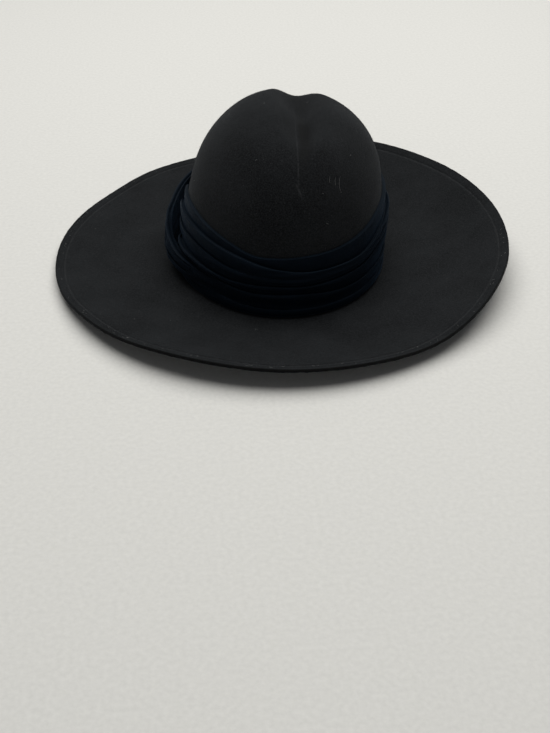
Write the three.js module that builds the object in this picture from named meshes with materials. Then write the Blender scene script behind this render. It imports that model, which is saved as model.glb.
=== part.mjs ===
// Wide-brimmed felt hat with a centre-creased crown and a draped, pleated cloth band.
// Millimetres. +Z is up, -Y is the front of the hat and +X its wearer's left. The underside of the
// brim next to the head opening lies on Z = 0, and the head opening is centred on the origin.

import * as THREE from 'three';

// Felt body, blocked in one piece
const FELT_THICKNESS = 2.8;
const HEAD_HALF_WIDTH = 85;
const HEAD_HALF_LENGTH = 100.6;
const CROWN_HEIGHT = 146;
const CROWN_LEAN = 19;
const CROWN_TILT = THREE.MathUtils.degToRad(9.5);
const CROWN_PLAN_POWER = 2.5;
const CROWN_RISE_POWER = 3.2;
const BREAK_RADIUS = 3;
const REST_RING_WIDTH = 8;

// Brim
const BRIM_HALF_WIDTH = 198.5;
const BRIM_HALF_LENGTH = 199;
const BRIM_RISE = 36;
const BRIM_SWEEP_POWER = 1.5;
const SCORE_INSET = 8;
const SCORE_WIDTH = 3;
const SCORE_DEPTH = 0.5;

// Centre crease pressed into the top of the crown
const CREASE_WIDTH = 38;
const CREASE_DEPTH = 10.5;
const CREASE_SHIFT = 9;
const CREASE_TURN = THREE.MathUtils.degToRad(2.9);

// Pleated band
const BAND_HEIGHT = 66;
const CLOTH_THICKNESS = 1.5;
const PLEAT_DEPTH = 4.5;
const POCKET_DEPTH = 5;
const BAND_START = 168;
const BAND_START_SLANT = 36;
const BAND_OVERLAP = 78;
const CLEARANCE = 0.4;

// Facets
const SECTORS = 60;
const CROWN_ROWS = 13;
const CROWN_ROW_CROWDING = 1.4;
const BREAK_ROWS = 2;
const BRIM_ROWS = 5;
const WALL_PASSES = 6;

// Height of the brim's edge at each bearing, as a share of BRIM_RISE
const BRIM_EDGE = [
  { bearing: 0, height: 0.78 },
  { bearing: 30, height: 0.88 },
  { bearing: 60, height: 0.88 },
  { bearing: 90, height: 0.54 },
  { bearing: 120, height: 0.32 },
  { bearing: 150, height: 0.18 },
  { bearing: 180, height: 0.17 },
  { bearing: 210, height: 0.28 },
  { bearing: 240, height: 0.45 },
  { bearing: 270, height: 0.46 },
  { bearing: 300, height: 0.33 },
  { bearing: 330, height: 0.62 },
];

// The crease along the crown: place is a share of HEAD_HALF_LENGTH, negative to the front, depth
// of CREASE_DEPTH and width of CREASE_WIDTH. It runs out in a narrow pinch at the front.
const CREASE_RUN = [
  { place: -0.86, depth: 0, width: 0.25 },
  { place: -0.74, depth: 0.14, width: 0.45 },
  { place: -0.58, depth: 0.4, width: 0.75 },
  { place: -0.38, depth: 0.8, width: 1 },
  { place: -0.12, depth: 1, width: 1 },
  { place: 0.12, depth: 0.88, width: 1 },
  { place: 0.32, depth: 0.62, width: 1 },
  { place: 0.60, depth: 0.3, width: 0.8 },
  { place: 0.86, depth: 0, width: 0.4 },
];

// The band from its tucked start on one side, round the front and the back, to its outer end.
// Bearing runs on past a full turn. Top is a share of BAND_HEIGHT and the five fold lines are shares
// of that top. Pinch is how deep the fourth fold line is, puff and low how far the folds above and
// below the second line swell, as shares of PLEAT_DEPTH. Over is 1 where the layer lies on another,
// stand and pocket how far it stands off there, as shares of PLEAT_DEPTH and POCKET_DEPTH.
const BAND_RUN = [
  {
    bearing: 168, top: 0.92, folds: [0.2, 0.44, 0.55, 0.76, 0.93], pinch: 1,
    puff: 0.8, low: 0, over: 0, stand: 0, pocket: 0,
  },
  {
    bearing: 200, top: 0.91, folds: [0.2, 0.43, 0.53, 0.75, 0.93], pinch: 1,
    puff: 1, low: 0, over: 0, stand: 0, pocket: 0,
  },
  {
    bearing: 220, top: 0.87, folds: [0.2, 0.44, 0.53, 0.73, 0.93], pinch: 1,
    puff: 1, low: 0.05, over: 0, stand: 0, pocket: 0,
  },
  {
    bearing: 234, top: 0.83, folds: [0.18, 0.44, 0.54, 0.72, 0.92], pinch: 0.5,
    puff: 1, low: 0.5, over: 0, stand: 0, pocket: 0,
  },
  {
    bearing: 248, top: 0.8, folds: [0.17, 0.42, 0.56, 0.72, 0.93], pinch: 0.1,
    puff: 1, low: 1, over: 0, stand: 0, pocket: 0,
  },
  {
    bearing: 262, top: 0.8, folds: [0.16, 0.43, 0.57, 0.7, 0.86], pinch: 0,
    puff: 1, low: 1, over: 0, stand: 0, pocket: 0,
  },
  {
    bearing: 276, top: 0.82, folds: [0.16, 0.42, 0.55, 0.66, 0.79], pinch: 0,
    puff: 1, low: 1, over: 0, stand: 0, pocket: 0,
  },
  {
    bearing: 294, top: 0.85, folds: [0.16, 0.36, 0.56, 0.67, 0.77], pinch: 0,
    puff: 1, low: 1, over: 0, stand: 0, pocket: 0,
  },
  {
    bearing: 312, top: 0.92, folds: [0.15, 0.33, 0.55, 0.65, 0.74], pinch: 0,
    puff: 1, low: 1, over: 0, stand: 0, pocket: 0,
  },
  {
    bearing: 330, top: 0.99, folds: [0.15, 0.3, 0.57, 0.68, 0.78], pinch: 0.3,
    puff: 1, low: 1, over: 0, stand: 0, pocket: 0,
  },
  {
    bearing: 360, top: 1, folds: [0.16, 0.33, 0.56, 0.68, 0.8], pinch: 0.8,
    puff: 0.9, low: 0.9, over: 0, stand: 0, pocket: 0,
  },
  {
    bearing: 450, top: 0.96, folds: [0.18, 0.36, 0.53, 0.68, 0.84], pinch: 1,
    puff: 0.9, low: 0.9, over: 0, stand: 0, pocket: 0,
  },
  {
    bearing: 486, top: 0.9, folds: [0.18, 0.36, 0.53, 0.68, 0.84], pinch: 1,
    puff: 0.9, low: 0.9, over: 0.5, stand: 0.4, pocket: 0.1,
  },
  {
    bearing: 510, top: 0.83, folds: [0.18, 0.36, 0.53, 0.68, 0.84], pinch: 1,
    puff: 0.8, low: 0.9, over: 1, stand: 1, pocket: 0.6,
  },
  {
    bearing: 528, top: 0.75, folds: [0.18, 0.36, 0.53, 0.68, 0.84], pinch: 1,
    puff: 0.8, low: 0.9, over: 1, stand: 1, pocket: 1,
  },
  {
    bearing: 538, top: 0.66, folds: [0.18, 0.36, 0.53, 0.68, 0.84], pinch: 1,
    puff: 0.8, low: 0.9, over: 1, stand: 1, pocket: 1,
  },
  {
    bearing: 546, top: 0.52, folds: [0.2, 0.38, 0.55, 0.7, 0.86], pinch: 0.8,
    puff: 0.8, low: 1, over: 1, stand: 1, pocket: 0.9,
  },
  {
    bearing: 554, top: 0.43, folds: [0.24, 0.42, 0.58, 0.74, 0.88], pinch: 0.5,
    puff: 0.8, low: 1, over: 1, stand: 0.95, pocket: 0.6,
  },
  {
    bearing: 568, top: 0.41, folds: [0.28, 0.46, 0.62, 0.76, 0.9], pinch: 0.2,
    puff: 0.8, low: 1, over: 1, stand: 0.75, pocket: 0.2,
  },
  {
    bearing: 582, top: 0.4, folds: [0.3, 0.48, 0.64, 0.78, 0.9], pinch: 0,
    puff: 0.8, low: 0.9, over: 1, stand: 0.5, pocket: 0,
  },
  {
    bearing: 594, top: 0.385, folds: [0.32, 0.5, 0.66, 0.8, 0.92], pinch: 0,
    puff: 0.5, low: 0.5, over: 1, stand: 0.75, pocket: 0,
  },
  {
    bearing: 606, top: 0.37, folds: [0.34, 0.5, 0.66, 0.8, 0.92], pinch: 0,
    puff: 0.1, low: 0.1, over: 1, stand: 1.05, pocket: 0,
  },
];

// Thickness of one fold across its height, as a share of PLEAT_DEPTH
const FOLD_SECTION = [
  { share: 0, bulge: 0.1 },
  { share: 0.4, bulge: 0.75 },
  { share: 0.82, bulge: 1 },
];
const LOW_FOLDS = 2;
const PINCHED_LINE = 4;
const OPEN_FOLD_LINE = 0.85;

// Smooth curve through the rows of a table, never below zero: columns(row) lists what it carries
function curveThrough(rows, position, columns) {
  const positions = rows.map(position);
  const values = rows.flatMap(columns);
  const curve = new THREE.CubicInterpolant(positions, values, columns(rows[0]).length);
  return (at) => {
    const place = THREE.MathUtils.clamp(at, positions[0], positions.at(-1));
    return Array.from(curve.evaluate(place), (value) => Math.max(value, 0));
  };
}

const turned = (rows, turns) => rows.map((row) => ({ ...row, bearing: row.bearing + 360 * turns }));
const brimEdgeCurve = curveThrough(
  [...turned(BRIM_EDGE, -1), ...BRIM_EDGE, ...turned(BRIM_EDGE, 1)],
  (row) => row.bearing,
  (row) => [row.height],
);
const creaseCurve = curveThrough(CREASE_RUN, (row) => row.place, (row) => [row.depth, row.width]);
const bandCurve = curveThrough(
  BAND_RUN,
  (row) => row.bearing,
  (row) => [row.top, row.pinch, row.puff, row.low, row.over, row.stand, row.pocket, ...row.folds],
);

// Plan of the head opening: an ellipse, moved out by an offset square to it
function headPoint(angle, offset) {
  const outward = new THREE.Vector2(
    Math.cos(angle) / HEAD_HALF_WIDTH,
    Math.sin(angle) / HEAD_HALF_LENGTH,
  ).normalize();
  return new THREE.Vector2(
    HEAD_HALF_WIDTH * Math.cos(angle) + offset * outward.x,
    HEAD_HALF_LENGTH * Math.sin(angle) + offset * outward.y,
  );
}

const CROWN_FOOT = FELT_THICKNESS + BREAK_RADIUS;

function creaseDepth(x, y) {
  const [depth, width] = creaseCurve(y / HEAD_HALF_LENGTH);
  const across = Math.abs(x - CREASE_SHIFT - y * Math.tan(CREASE_TURN)) / ((width * CREASE_WIDTH) / 2);
  return across < 1 ? CREASE_DEPTH * depth * Math.cos((across * Math.PI) / 2) ** 2 : 0;
}

// How far the tilt of the crown's top lowers its wall
const crownFall = (x, rise) => (x - CROWN_LEAN) * Math.tan(CROWN_TILT) * rise ** 2;

// Crown at a climb from 0 at its foot to a quarter turn at its top, inset into the felt
function crownPoint(angle, climb, inset) {
  const reach = Math.cos(climb) ** (2 / CROWN_PLAN_POWER);
  const rise = Math.sin(climb) ** (2 / CROWN_RISE_POWER);
  const plan = headPoint(angle, -inset);
  const x = plan.x * reach + CROWN_LEAN * rise ** 2;
  const y = plan.y * reach;
  const z = CROWN_FOOT + (CROWN_HEIGHT - inset - CROWN_FOOT) * rise;
  return new THREE.Vector3(x, y, z - crownFall(x, rise) - creaseDepth(x, y));
}

// Rounded break between crown and brim, then the flat ring that the hat rests on
function breakPoint(angle, bend, inset) {
  const radius = BREAK_RADIUS + inset;
  const plan = headPoint(angle, BREAK_RADIUS - radius * Math.cos(bend));
  return new THREE.Vector3(plan.x, plan.y, CROWN_FOOT - radius * Math.sin(bend));
}

const RING_EDGE = BREAK_RADIUS + REST_RING_WIDTH;

// Brim from the ring, at share 0, to its cut edge, at share 1
function brimPoint(angle, share, inset) {
  const from = headPoint(angle, RING_EDGE);
  const to = new THREE.Vector2(BRIM_HALF_WIDTH * Math.cos(angle), BRIM_HALF_LENGTH * Math.sin(angle));
  const plan = from.lerp(to, share);
  const bearing = THREE.MathUtils.euclideanModulo(THREE.MathUtils.radToDeg(angle), 360);
  const edge = BRIM_RISE * brimEdgeCurve(bearing)[0];
  return new THREE.Vector3(plan.x, plan.y, FELT_THICKNESS - inset + edge * share ** BRIM_SWEEP_POWER);
}

// Share of the brim's width at a distance in from its edge
function brimShare(angle, insideEdge) {
  const width = headPoint(angle, RING_EDGE).distanceTo(
    new THREE.Vector2(BRIM_HALF_WIDTH * Math.cos(angle), BRIM_HALF_LENGTH * Math.sin(angle)),
  );
  return 1 - insideEdge / width;
}

// Closed shell from a pole, through rings of equal length, to another pole
function poleToPole(firstPole, rings, lastPole) {
  const points = [firstPole, ...rings.flat(), lastPole];
  const faces = [];
  const count = rings[0].length;
  const last = points.length - 1;
  for (let i = 0; i < count; i += 1) {
    const next = (i + 1) % count;
    faces.push(0, 1 + i, 1 + next);
    for (let ring = 0; ring < rings.length - 1; ring += 1) {
      const here = 1 + ring * count;
      const below = here + count;
      faces.push(here + i, below + i, below + next);
      faces.push(here + i, below + next, here + next);
    }
    const end = 1 + (rings.length - 1) * count;
    faces.push(last, end + next, end + i);
  }
  return new THREE.BufferGeometry().setFromPoints(points).setIndex(faces);
}

// One side of the felt, from the top of the crown to the edge of the brim
function feltRings(inset) {
  const angles = Array.from({ length: SECTORS }, (_, i) => (i / SECTORS) * 2 * Math.PI);
  const rings = [];
  for (let row = 1; row <= CROWN_ROWS; row += 1) {
    const climb = (1 - (row / CROWN_ROWS) ** CROWN_ROW_CROWDING) * (Math.PI / 2);
    rings.push(angles.map((angle) => crownPoint(angle, climb, inset)));
  }
  for (let row = 1; row <= BREAK_ROWS; row += 1) {
    const bend = (row / BREAK_ROWS) * (Math.PI / 2);
    rings.push(angles.map((angle) => breakPoint(angle, bend, inset)));
  }
  const scoreStart = SCORE_INSET + SCORE_WIDTH / 2;
  for (let row = 0; row <= BRIM_ROWS; row += 1) {
    rings.push(angles.map((angle) => {
      return brimPoint(angle, (row / BRIM_ROWS) * brimShare(angle, scoreStart), inset);
    }));
  }
  const pressed = inset > 0 ? 0 : SCORE_DEPTH;
  rings.push(angles.map((angle) => brimPoint(angle, brimShare(angle, SCORE_INSET), inset + pressed)));
  rings.push(angles.map((angle) => {
    return brimPoint(angle, brimShare(angle, SCORE_INSET - SCORE_WIDTH / 2), inset);
  }));
  rings.push(angles.map((angle) => brimPoint(angle, 1, inset)));
  return rings;
}

function makeFeltBody() {
  const outside = feltRings(0);
  const inside = feltRings(FELT_THICKNESS).reverse();
  const top = crownPoint(0, Math.PI / 2, 0);
  const ceiling = crownPoint(0, Math.PI / 2, FELT_THICKNESS);
  const felt = new THREE.MeshStandardMaterial({ color: 0x262729, roughness: 0.95, metalness: 0 });
  const mesh = new THREE.Mesh(poleToPole(top, [...outside, ...inside], ceiling), felt);
  mesh.name = 'felt_body';
  return mesh;
}

// Lowest height that keeps a point at this offset clear of the break and the brim
function bandFloor(angle, offset) {
  if (offset < BREAK_RADIUS) {
    const radius = BREAK_RADIUS - CLEARANCE;
    return CROWN_FOOT - Math.sqrt(Math.max(radius ** 2 - (BREAK_RADIUS - offset) ** 2, 0));
  }
  const ringSpan = brimShare(angle, 0) - brimShare(angle, Math.max(offset - RING_EDGE, 0));
  return brimPoint(angle, ringSpan, 0).z + CLEARANCE;
}

// How far up the crown, from 0 at its foot to 1 at its top, the wall reaches a height
function wallRise(angle, z) {
  const plan = headPoint(angle, 0);
  let rise = 0;
  for (let pass = 0; pass < WALL_PASSES; pass += 1) {
    const reach = (1 - rise ** CROWN_RISE_POWER) ** (1 / CROWN_PLAN_POWER);
    const fall = crownFall(plan.x * reach + CROWN_LEAN * rise ** 2, rise);
    rise = Math.max(z + fall - CROWN_FOOT, 0) / (CROWN_HEIGHT - CROWN_FOOT);
  }
  return rise;
}

// Point beside the crown's wall, at a share of the band's height and an offset off the felt
function bandPoint(angle, share, top, offset) {
  const floor = bandFloor(angle, offset);
  const z = THREE.MathUtils.lerp(floor, FELT_THICKNESS + top, share);
  const rise = wallRise(angle, z);
  const reach = (1 - rise ** CROWN_RISE_POWER) ** (1 / CROWN_PLAN_POWER);
  const wall = headPoint(angle, 0);
  const outward = headPoint(angle, offset).sub(wall);
  const x = wall.x * reach + CROWN_LEAN * rise ** 2 + outward.x;
  const y = wall.y * reach + outward.y;
  return new THREE.Vector3(x, y, z);
}

// Section of the band at one bearing: up its pleated face, then down its plain back
function bandSection(bearing) {
  const [topShare, pinch, puff, low, over, stand, pocket, ...folds] = bandCurve(bearing);
  const top = BAND_HEIGHT * topShare;
  const standOff = stand * PLEAT_DEPTH + pocket * POCKET_DEPTH;
  const back = CLEARANCE + over * (CLOTH_THICKNESS + CLEARANCE) + standOff;
  const slant = BAND_START_SLANT * Math.max(1 - (bearing - BAND_START) / (2 * BAND_START_SLANT), 0);
  const angleAt = (share) => THREE.MathUtils.degToRad(bearing + slant * (1 - share));
  const lines = [0, ...folds, 1];
  const face = [];
  for (let fold = 0; fold < lines.length - 1; fold += 1) {
    for (const { share, bulge } of FOLD_SECTION) {
      const height = THREE.MathUtils.lerp(lines[fold], lines[fold + 1], share);
      const swell = (fold < LOW_FOLDS ? low : puff) * PLEAT_DEPTH;
      const fades = fold === PINCHED_LINE && share === 0;
      const line = fades ? THREE.MathUtils.lerp(OPEN_FOLD_LINE, bulge, pinch) : bulge;
      face.push(bandPoint(angleAt(height), height, top, back + CLOTH_THICKNESS + swell * line));
    }
  }
  face.push(bandPoint(angleAt(1), 1, top, back + CLOTH_THICKNESS));
  const lining = lines.map((line) => bandPoint(angleAt(line), line, top, back));
  return { face, back: lining.reverse() };
}

// Closed strip lofted through sections that are open at their two ends
function loftStrip(sections) {
  const loops = sections.map(({ face, back }) => [...face, ...back]);
  const count = loops[0].length;
  const points = loops.flat();
  const faces = [];
  for (let s = 0; s < loops.length - 1; s += 1) {
    for (let i = 0; i < count; i += 1) {
      const next = (i + 1) % count;
      const here = s * count;
      const ahead = here + count;
      faces.push(here + i, ahead + i, ahead + next);
      faces.push(here + i, ahead + next, here + next);
    }
  }
  const faceSteps = FOLD_SECTION.length;
  const folds = sections[0].back.length - 1;
  for (let fold = 0; fold < folds; fold += 1) {
    const inner = count - 1 - fold;
    const fan = [];
    for (let step = 0; step < faceSteps; step += 1) {
      fan.push([inner, fold * faceSteps + step, fold * faceSteps + step + 1]);
    }
    fan.push([inner, (fold + 1) * faceSteps, inner - 1]);
    const end = (loops.length - 1) * count;
    for (const [a, b, c] of fan) {
      faces.push(a, b, c);
      faces.push(end + a, end + c, end + b);
    }
  }
  return new THREE.BufferGeometry().setFromPoints(points).setIndex(faces);
}

function makeDrapedBand() {
  const turn = 360 + BAND_OVERLAP;
  const steps = Math.round((turn / 360) * SECTORS);
  const bearings = Array.from({ length: steps + 1 }, (_, i) => BAND_START + (turn * i) / steps);
  const sections = bearings.map(bandSection);
  const cloth = new THREE.MeshStandardMaterial({ color: 0x15161c, roughness: 0.7, metalness: 0 });
  const mesh = new THREE.Mesh(loftStrip(sections), cloth);
  mesh.name = 'draped_band';
  return mesh;
}

const hat = new THREE.Group();
hat.add(makeFeltBody(), makeDrapedBand());

export default hat;
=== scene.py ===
import math

import bpy
import numpy as np
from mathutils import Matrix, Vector


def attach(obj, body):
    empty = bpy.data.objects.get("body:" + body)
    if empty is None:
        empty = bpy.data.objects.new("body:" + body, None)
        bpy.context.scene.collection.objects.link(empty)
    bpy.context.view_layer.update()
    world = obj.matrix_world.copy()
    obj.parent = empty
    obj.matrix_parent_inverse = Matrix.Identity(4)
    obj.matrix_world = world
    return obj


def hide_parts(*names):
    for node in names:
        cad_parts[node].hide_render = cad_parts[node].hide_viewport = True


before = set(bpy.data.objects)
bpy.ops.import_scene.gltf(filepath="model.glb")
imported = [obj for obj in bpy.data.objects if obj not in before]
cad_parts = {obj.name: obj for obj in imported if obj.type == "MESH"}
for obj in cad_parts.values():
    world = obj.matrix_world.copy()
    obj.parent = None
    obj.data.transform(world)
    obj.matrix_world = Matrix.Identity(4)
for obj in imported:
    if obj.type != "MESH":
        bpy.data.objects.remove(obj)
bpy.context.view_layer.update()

# Felt body: crown and brim are one cone of black wool felt, blocked while wet over a round block.
# The brim is ironed into an upswept saucer with a line pressed inside its cut edge, and the top of
# the crown is creased by hand, with a pinch that runs out towards the front.
FELT_THICKNESS = 0.0028
HEAD_HALF_WIDTH = 0.085
HEAD_HALF_LENGTH = 0.1006
CROWN_HEIGHT = 0.146
CROWN_LEAN = 0.019
CROWN_TILT = math.radians(9.5)
CROWN_PLAN_POWER = 2.5
CROWN_RISE_POWER = 3.2
BREAK_RADIUS = 0.003
CROWN_FOOT = FELT_THICKNESS + BREAK_RADIUS
RING_EDGE = BREAK_RADIUS + 0.008
BRIM_HALF_WIDTH = 0.1985
BRIM_HALF_LENGTH = 0.199
BRIM_RISE = 0.036
BRIM_SWEEP_POWER = 1.5
SCORE_INSET = 0.008
SCORE_WIDTH = 0.0022
SCORE_DEPTH = 0.0006
CUT_EDGE_ROUND = 0.0008
CUT_EDGE_STEPS = 4
CREASE_WIDTH = 0.042
CREASE_DEPTH = 0.0105
CREASE_SHIFT = 0.0105
CREASE_TURN = math.radians(2.9)
PINCH_WIDTH = 0.017
PINCH_DEPTH = 0.0036
PINCH_SHIFT = 0.0065
PINCH_RIDGE = 0.0004
VALLEY_SHIFT = 0.0045
PINCH_LINE_HALF_WIDTH = 0.0007
PINCH_LINE_START = 0.2
PINCH_LINE_END = 0.86
PINCH_LINE_FADE = 0.05
CURL_START = -0.0815
CURL_LENGTH = 0.006
CURL_SWING = 0.0052
CURL_LOWEST = 0.09
CURL_FADE = 4
BOSS_PLACE = 0.88
BOSS_RADIUS = 0.005
BOSS_HEIGHT = 0.0009
BOSS_SQUASH = 1.4
BOSS_LOWEST = 0.06
HAND_WAVE = 0.0005
HAND_WAVE_LENGTH = 0.085
CROWN_WAVE_FADE = 0.03
BRIM_WAVE_FADE = 0.3
BRIM_UNEVENNESS = 1.5
BRIM_LEVEL = 0.045
BRIM_BEGINS = 0.62
FOOT_REACH = 0.6
BAND_LEVEL = 0.075
CUT_FUZZ = 0.12
CUT_FUZZ_LENGTH = 0.004

# Bearing in degrees and the height of the brim's edge there, as a share of BRIM_RISE
BRIM_EDGE = [
    (0, 0.78), (30, 0.88), (60, 0.88), (90, 0.54), (120, 0.32), (150, 0.18),
    (180, 0.17), (210, 0.28), (240, 0.45), (270, 0.46), (300, 0.33), (330, 0.62),
]

# Place along the crown as a share of HEAD_HALF_LENGTH, negative to the front, then the crease's
# depth and width, and the depth and width of the pinch along its bottom, as shares of their sizes
CREASE_RUN = [
    (-0.92, 0.00, 0.25, 0.00, 0.60),
    (-0.84, 0.02, 0.25, 0.00, 0.60),
    (-0.74, 0.12, 0.45, 0.12, 0.70),
    (-0.58, 0.44, 0.75, 0.55, 0.90),
    (-0.38, 0.92, 1.00, 1.00, 1.00),
    (-0.12, 1.20, 1.10, 1.00, 1.00),
    (0.12, 1.35, 1.20, 0.55, 1.00),
    (0.32, 1.15, 1.20, 0.10, 1.00),
    (0.60, 0.50, 0.90, 0.00, 1.00),
    (0.86, 0.00, 0.40, 0.00, 1.00),
]


def curve_through(rows, at):
    """Smooth values through a table whose first column is the place, never below zero."""
    table = np.array(rows, float)
    places, values = table[:, 0], table[:, 1:]
    slopes = np.gradient(values, places, axis=0)
    slopes[1:-1] = (values[2:] - values[:-2]) / (places[2:] - places[:-2])[:, None]
    at = np.clip(np.asarray(at, float), places[0], places[-1])
    row = np.clip(np.searchsorted(places, at, side="right") - 1, 0, len(places) - 2)
    span = (places[row + 1] - places[row])[..., None]
    t = (at - places[row])[..., None] / span
    start = (2 * t**3 - 3 * t**2 + 1) * values[row] + (t**3 - 2 * t**2 + t) * span * slopes[row]
    end = (3 * t**2 - 2 * t**3) * values[row + 1] + (t**3 - t**2) * span * slopes[row + 1]
    return np.maximum(np.moveaxis(start + end, -1, 0), 0)


def head_plan(angle, offset):
    """Plan of the head opening, an ellipse moved out by an offset square to it."""
    out_x, out_y = np.cos(angle) / HEAD_HALF_WIDTH, np.sin(angle) / HEAD_HALF_LENGTH
    long = np.hypot(out_x, out_y)
    x = HEAD_HALF_WIDTH * np.cos(angle) + offset * out_x / long
    y = HEAD_HALF_LENGTH * np.sin(angle) + offset * out_y / long
    return x, y


def crown_fall(x, rise):
    """How far the tilt of the crown's top lowers its wall."""
    return (x - CROWN_LEAN) * math.tan(CROWN_TILT) * rise**2


def crown_surface(angle, climb):
    """Outside of the crown, from its foot at climb 0 to its top at a quarter turn.

    It also gives the distance from the pinched line, the depth of the groove beside that and the
    depth of the crease.
    """
    reach = np.cos(climb) ** (2 / CROWN_PLAN_POWER)
    rise = np.sin(climb) ** (2 / CROWN_RISE_POWER)
    plan_x, plan_y = head_plan(angle, 0)
    x = plan_x * reach + CROWN_LEAN * rise**2
    y = plan_y * reach
    place = y / HEAD_HALF_LENGTH
    depth, width, pinch, pinch_width = curve_through(CREASE_RUN, place)
    across = x - CREASE_SHIFT - y * math.tan(CREASE_TURN)
    soft = np.clip(np.abs(across - VALLEY_SHIFT * width) / (width * CREASE_WIDTH / 2), 0, 1)
    valley = CREASE_DEPTH * depth * np.cos(soft * math.pi / 2) ** 2
    z = CROWN_FOOT + (CROWN_HEIGHT - CROWN_FOOT) * rise - crown_fall(x, rise) - valley
    beside = np.abs(across - PINCH_SHIFT * pinch_width) / (pinch_width * PINCH_WIDTH / 2)
    groove = PINCH_DEPTH * pinch * np.cos(np.clip(beside, 0, 1) * math.pi / 2) ** 2
    return np.stack([x, y, z], -1), across, groove, valley


def brim_width(angle):
    from_x, from_y = head_plan(angle, RING_EDGE)
    return np.hypot(BRIM_HALF_WIDTH * np.cos(angle) - from_x, BRIM_HALF_LENGTH * np.sin(angle) - from_y)


def brim_surface(angle, share):
    """Top of the brim, from the flat ring at share 0 to its cut edge at share 1."""
    from_x, from_y = head_plan(angle, RING_EDGE)
    x = from_x + (BRIM_HALF_WIDTH * np.cos(angle) - from_x) * share
    y = from_y + (BRIM_HALF_LENGTH * np.sin(angle) - from_y) * share
    round_table = [(b + turn, h) for turn in (-360, 0, 360) for b, h in BRIM_EDGE]
    edge = BRIM_RISE * curve_through(round_table, np.degrees(angle) % 360)[0]
    z = FELT_THICKNESS + edge * np.clip(share, 0, None) ** BRIM_SWEEP_POWER
    return np.stack([x, y, z], -1)


def hand_waves(points, wavelength, seed):
    """Gentle unevenness left by hand blocking, between about -1 and 1."""
    draws = np.random.default_rng(seed)
    waves = 9
    total = np.zeros(points.shape[:-1])
    for _ in range(waves):
        heading = draws.normal(size=3)
        heading *= draws.uniform(0.6, 1.5) * 2 * math.pi / wavelength / np.linalg.norm(heading)
        total += np.sin(points @ heading + draws.uniform(0, 2 * math.pi))
    return total / math.sqrt(waves)


def grid_normals(points):
    """Outward normals of rows of points that close on themselves along the second axis."""
    down = np.gradient(points, axis=0)
    along = np.roll(points, -1, axis=1) - np.roll(points, 1, axis=1)
    square = np.cross(down, along)
    return square / np.maximum(np.linalg.norm(square, axis=-1, keepdims=True), 1e-12)


def plain_mesh(name, points, faces, smooth=True):
    """An object at the origin whose place is in its mesh."""
    mesh = bpy.data.meshes.new(name)
    mesh.from_pydata(points.tolist(), [], faces)
    mesh.validate()
    mesh.polygons.foreach_set("use_smooth", [smooth] * len(mesh.polygons))
    piece = bpy.data.objects.new(name, mesh)
    bpy.context.scene.collection.objects.link(piece)
    return piece


def ring_faces(rows, count, first=0):
    """Quads between rows of points that each close on themselves."""
    row_start = np.arange(rows - 1)[:, None] * count + first
    column = np.arange(count)[None, :]
    here = (row_start + column).ravel()
    ahead = (row_start + (column + 1) % count).ravel()
    return np.stack([here, here + count, ahead + count, ahead], -1).tolist()


def give_values(piece, name, values):
    """A number at each point of a piece, for its material or its hairs."""
    attribute = piece.data.attributes.new(name, "FLOAT", "POINT")
    attribute.data.foreach_set("value", np.asarray(values, np.float32).ravel())


# Columns stand closer together towards the front, where the pinch of the crease is narrow, and the
# crown's rows towards its top
FELT_COLUMNS = 384
FRONT_CROWDING = 0.45
CROWN_ROWS = 96
TOP_CROWDING = 1.25
BREAK_ROWS = 8
BRIM_ROWS = 50
front = math.radians(270)
spread = np.arange(FELT_COLUMNS) / FELT_COLUMNS * 2 * math.pi
felt_angles = spread - FRONT_CROWDING * np.sin(spread - front)

crown_climbs = (1 - (np.arange(1, CROWN_ROWS + 1) / CROWN_ROWS) ** TOP_CROWDING) * math.pi / 2
outside_rows = []
pressed_rows = []

# How far the nap is worn off to lighter felt on a line, with a painted highlight on the small curl
# where the pinch runs out, and painted shade in the hollows of the groove and the crease where it is
# below zero
LINE_WEAR = 0.42
LINE_WEAR_LEAST = 0.2
LINE_WEAR_FULL = 0.7
CURL_HIGHLIGHT = 0.5
SCORE_WEAR = 0.4
GROOVE_SHADE = 1.1
GROOVE_SHADE_GROWTH = 1.4
CREASE_SHADE = 0.55
wear_and_painted_light_rows = []
for climb in crown_climbs:
    row, across, pinch, valley = crown_surface(felt_angles, climb)
    outside_rows.append(row)
    place = row[:, 1] / HEAD_HALF_LENGTH
    forward = np.clip(-place / PINCH_LINE_START, 0, 1)
    run_out = np.clip((place + PINCH_LINE_END) / PINCH_LINE_FADE, 0, 1)
    line = forward * run_out * np.exp(-((across / PINCH_LINE_HALF_WIDTH) ** 2))
    pressed_rows.append(pinch - PINCH_RIDGE * line)
    curled = (CURL_START - row[:, 1]) / CURL_LENGTH
    from_curl = (across - CURL_SWING * (curled - 0.5)) / PINCH_LINE_HALF_WIDTH
    curl = np.exp(-(from_curl**2)) * np.clip(CURL_FADE * curled, 0, 1)
    curl *= np.clip(CURL_FADE * (1 - curled), 0, 1)
    wear_and_highlight = LINE_WEAR * line * np.clip(-place / LINE_WEAR_FULL, LINE_WEAR_LEAST, 1)
    # Painted highlight on the small curl where the pinch runs out
    wear_and_highlight += CURL_HIGHLIGHT * curl * (row[:, 2] > CURL_LOWEST)
    # Painted shade in the groove beside the pinch and in the crease's valley, kept off the line itself
    in_groove = np.sqrt(pinch / PINCH_DEPTH) * np.clip(GROOVE_SHADE_GROWTH * forward, 0, 1)
    in_crease = np.clip(valley / CREASE_DEPTH, 0, 1)
    shade = np.maximum(GROOVE_SHADE * in_groove, CREASE_SHADE * in_crease)
    wear_and_painted_light_rows.append(wear_and_highlight - shade * (1 - line))
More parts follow.
